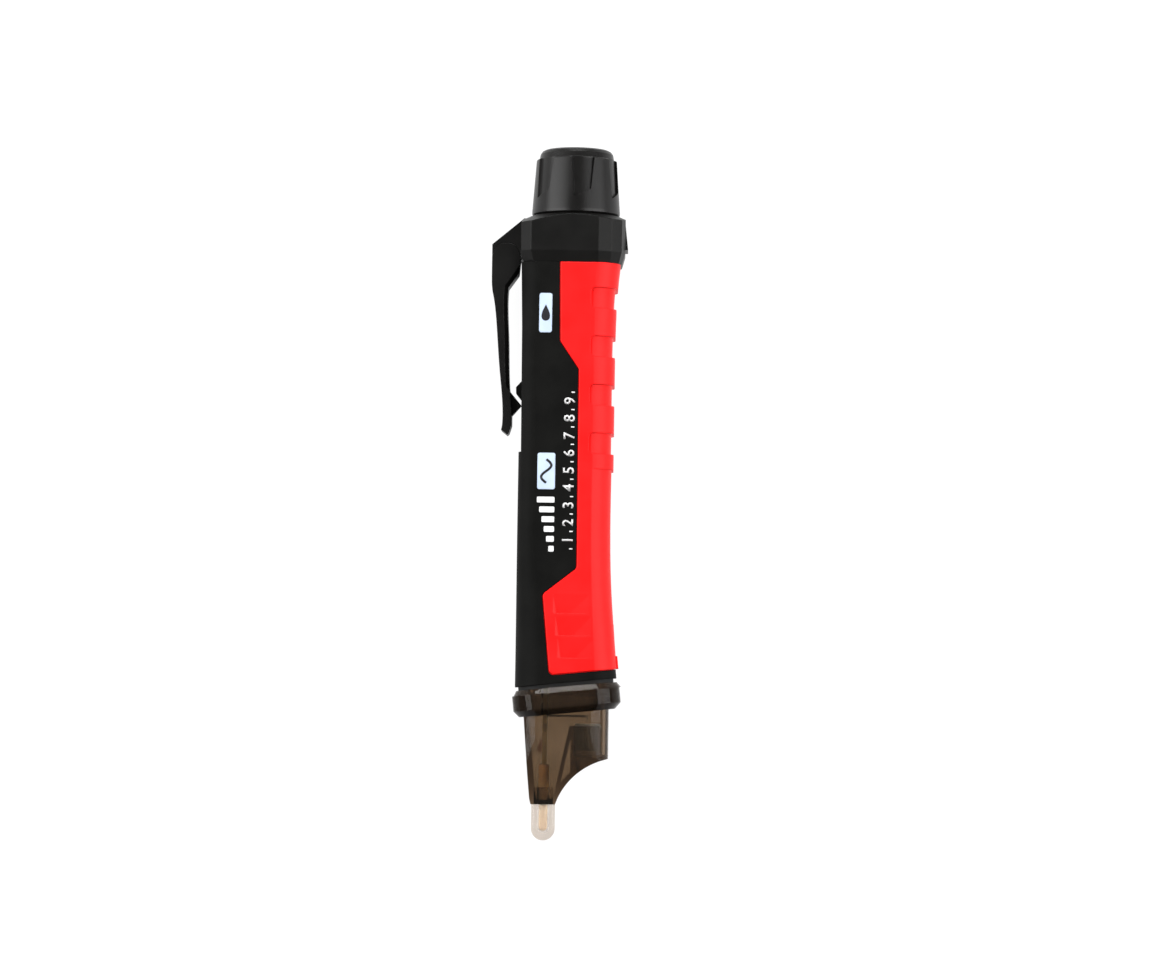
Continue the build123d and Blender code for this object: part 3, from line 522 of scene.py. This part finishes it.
def ribbon(line, width):
    """Four-sided shapes of one width that follow a line of points."""
    sides = []
    for index, (station, f) in enumerate(line):
        before = line[max(index - 1, 0)]
        after = line[min(index + 1, len(line) - 1)]
        run = math.hypot(after[0] - before[0], after[1] - before[1])
        off_station = -(after[1] - before[1]) / run * width / 2
        off_f = (after[0] - before[0]) / run * width / 2
        sides.append(((station + off_station, f + off_f), (station - off_station, f - off_f)))
    return [[near[0], far[0], far[1], near[1]] for near, far in zip(sides, sides[1:])]


# pale plate with a plain drop, its point up the pen
DROP_PLATE = rounded((116.7, 125.8), (4.98, 7.95), radius=0.55)
DROP_CENTRE = (121.3, 6.45)
DROP_HALF_LENGTH = 1.9
DROP_HALF_WIDTH = 1.3775
DROP_TAPER = 1.4
DROP_POINTS = 48
drop = []
for step in range(DROP_POINTS):
    angle = 2 * math.pi * step / DROP_POINTS
    bulge = math.sin(angle) * math.sin(angle / 2) ** DROP_TAPER
    station = DROP_CENTRE[0] + DROP_HALF_LENGTH * math.cos(angle)
    drop.append((station, DROP_CENTRE[1] + DROP_HALF_WIDTH * bulge))
print_on_panel("drop_plate", [DROP_PLATE], INK_BLUE)
print_on_panel("drop_mark", [drop], INK_DARK, layer=2)

# pale plate with one wave
WAVE_PLATE = rounded((80.6, 89.0), (3.7, 7.8), radius=0.5)
WAVE_START = 82.1
WAVE_LENGTH = 5.4
WAVE_MIDDLE = 5.75
WAVE_HEIGHT = 1.15
WAVE_WIDTH = 0.55
WAVE_STEPS = 32
wave = []
for step in range(WAVE_STEPS + 1):
    share = step / WAVE_STEPS
    station = WAVE_START + WAVE_LENGTH * share
    wave.append((station, WAVE_MIDDLE + WAVE_HEIGHT * math.sin(2 * math.pi * share)))
print_on_panel("wave_plate", [WAVE_PLATE], INK_BLUE)
print_on_panel("wave_mark", ribbon(wave, WAVE_WIDTH), INK_DARK, layer=2)

# row of rising bars
BAR_COUNT = 6
BAR_START = 66.3
BAR_PITCH = 2.25
BAR_WIDTH = 1.35
BAR_FOOT = 3.75
BAR_FIRST_TOP = 5.0
BAR_RISE = 0.56
BAR_CORNER = 0.25
bars = []
for index in range(BAR_COUNT):
    low = BAR_START + index * BAR_PITCH
    top = BAR_FIRST_TOP + index * BAR_RISE
    bars.append(rounded((low, low + BAR_WIDTH), (BAR_FOOT, top), BAR_CORNER, steps=3))
print_on_panel("level_bars", bars, INK_WHITE)

# numbered scale up the panel, with a tick on each side of every number
SCALE_START = 67.0
SCALE_PITCH = 4.0
SCALE_NUMBERS = range(1, 10)
SCALE_BASELINE = -0.55
NUMBER_HEIGHT = 2.45
TICK_TOP = 0.25
TICK_HALF_WIDTH = 0.14
TICK_CORNER = 0.1
for number in SCALE_NUMBERS:
    station = SCALE_START + (number - 0.5) * SCALE_PITCH
    text = str(number)
    figure("scale_" + text, text, station, SCALE_BASELINE, NUMBER_HEIGHT, INK_WHITE)
ticks = []
for index in range(len(SCALE_NUMBERS) + 1):
    station = SCALE_START + index * SCALE_PITCH
    sides = (station - TICK_HALF_WIDTH, station + TICK_HALF_WIDTH)
    ticks.append(rounded(sides, (SCALE_BASELINE, TICK_TOP), TICK_CORNER, steps=2))
print_on_panel("scale_ticks", ticks, INK_WHITE)

# ---------------------------------------------------------------- raised signs on the buttons
# A point of a sign is (station, s) in millimetres from the middle of its button.
SIGN_WIRE = 0.16 * MM
SIGN_ARC_STEPS = 18


def sign(name, button, station, body, lines):
    """Raised lines on the front face of a button at a station of the pen."""
    front_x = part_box(button)[0].x
    curve = bpy.data.curves.new(name, "CURVE")
    curve.dimensions = "3D"
    curve.bevel_depth = SIGN_WIRE
    curve.bevel_resolution = 2
    curve.use_fill_caps = True
    for line in lines:
        spline = curve.splines.new("POLY")
        spline.points.add(len(line) - 1)
        for point, (up_pen, s) in zip(spline.points, line):
            place = at(0, station + up_pen, s)
            point.co = (front_x, place.y, place.z, 1)
    curve.materials.append(INK_WHITE)
    add_piece(name, curve, body)


def arc(radius, start, end):
    """Points round the middle of a sign, from one angle in degrees to another."""
    points = []
    for step in range(SIGN_ARC_STEPS + 1):
        angle = math.radians(start + (end - start) * step / SIGN_ARC_STEPS)
        points.append((radius * math.cos(angle), radius * math.sin(angle)))
    return points


# open ring with a stroke through its gap
POWER_STATION = 53.5
power_ring = arc(1.3, 35, 325)
power_stroke = [(0.3, 0), (1.7, 0)]
sign("power_sign", "power_button", POWER_STATION, "power_press", [power_ring, power_stroke])

# ring with four rays that point down the pen
TORCH_STATION = 44.5
RAY_REACH = (1.2, 1.8)
RAY_ANGLES = (-0.9, -0.3, 0.3, 0.9)
rays = []
for angle in RAY_ANGLES:
    rays.append([(-reach * math.cos(angle), reach * math.sin(angle)) for reach in RAY_REACH])
sign("torch_sign", "torch_button", TORCH_STATION, "torch_press", [arc(0.8, 0, 360), *rays])

# ---------------------------------------------------------------- camera
centre = (cad_box[0] + cad_box[1]) / 2
VIEW_DISTANCE = 1.0
VIEW_LEAN = math.radians(1.0)  # the camera stands a little over to the grip side
STAND_Y = -0.05  # and level with the collar of the nose
AIM = Vector((0.00494, 0.00154, centre.z))
ROLL = 0.01589  # radians
FIELD = 0.2679  # width of the view at the pen
SENSOR_WIDTH = 36.0
CLIP_START = 0.01

towards_camera = Vector((math.sin(VIEW_LEAN), 0, math.cos(VIEW_LEAN)))
stand = towards_camera * VIEW_DISTANCE + Vector((0, STAND_Y, centre.z))
look = (AIM - stand).normalized()
level_right = look.cross(Vector((0, 1, 0))).normalized()
up = level_right.cross(look) * math.cos(ROLL) - level_right * math.sin(ROLL)
right = look.cross(up)
camera_data = bpy.data.cameras.new("camera")
camera_data.sensor_width = SENSOR_WIDTH
camera_data.lens = SENSOR_WIDTH * (AIM - stand).length / FIELD
camera_data.clip_start = CLIP_START
camera = bpy.data.objects.new("camera", camera_data)
bpy.context.scene.collection.objects.link(camera)
camera.matrix_world = Matrix((right, up, -look)).transposed().to_4x4()
camera.location = stand
bpy.context.scene.camera = camera

# ---------------------------------------------------------------- floor
FLOOR_SIZE = 6
FLOOR_GAP = 0.2 * MM
FLOOR_GREY = 0.12
FLOOR_GLOW = 0.93  # the floor lights itself almost to white, as in the photograph

bpy.ops.mesh.primitive_plane_add(size=FLOOR_SIZE, location=(0, 0, cad_box[0].z - FLOOR_GAP))
floor = bpy.context.object
floor.name = "floor"
floor_finish, _, floor_shader = material("floor")
floor_shader.inputs["Base Color"].default_value = (FLOOR_GREY, FLOOR_GREY, FLOOR_GREY, 1)
floor_shader.inputs["Roughness"].default_value = 0.9
floor_shader.inputs["Specular IOR Level"].default_value = 0.0
floor_shader.inputs["Emission Color"].default_value = (1, 1, 1, 1)
floor_shader.inputs["Emission Strength"].default_value = FLOOR_GLOW
floor.data.materials.append(floor_finish)

# ---------------------------------------------------------------- light
WORLD_STRENGTH = 0.12


def softbox(name, position, watts, size):
    """Rectangular area light that points at the pen."""
    data = bpy.data.lights.new(name, "AREA")
    data.energy = watts
    data.shape = "RECTANGLE"
    data.size = size[0]
    data.size_y = size[1]
    lamp = bpy.data.objects.new(name, data)
    bpy.context.scene.collection.objects.link(lamp)
    lamp.location = position
    lamp.rotation_euler = (centre - Vector(position)).to_track_quat("-Z", "Y").to_euler()


softbox("key", position=(-0.95, 0.15, 0.75), watts=17, size=(0.6, 1.3))
softbox("fill", position=(0.95, 0.05, 0.75), watts=15, size=(0.6, 1.3))
softbox("head", position=(0.0, 1.1, 0.6), watts=13, size=(0.8, 0.3))
world = bpy.data.worlds.new("world")
world.use_nodes = True
background = world.node_tree.nodes["Background"]
background.inputs["Color"].default_value = (1, 1, 1, 1)
background.inputs["Strength"].default_value = WORLD_STRENGTH
bpy.context.scene.world = world
bpy.context.scene.view_settings.view_transform = "Standard"
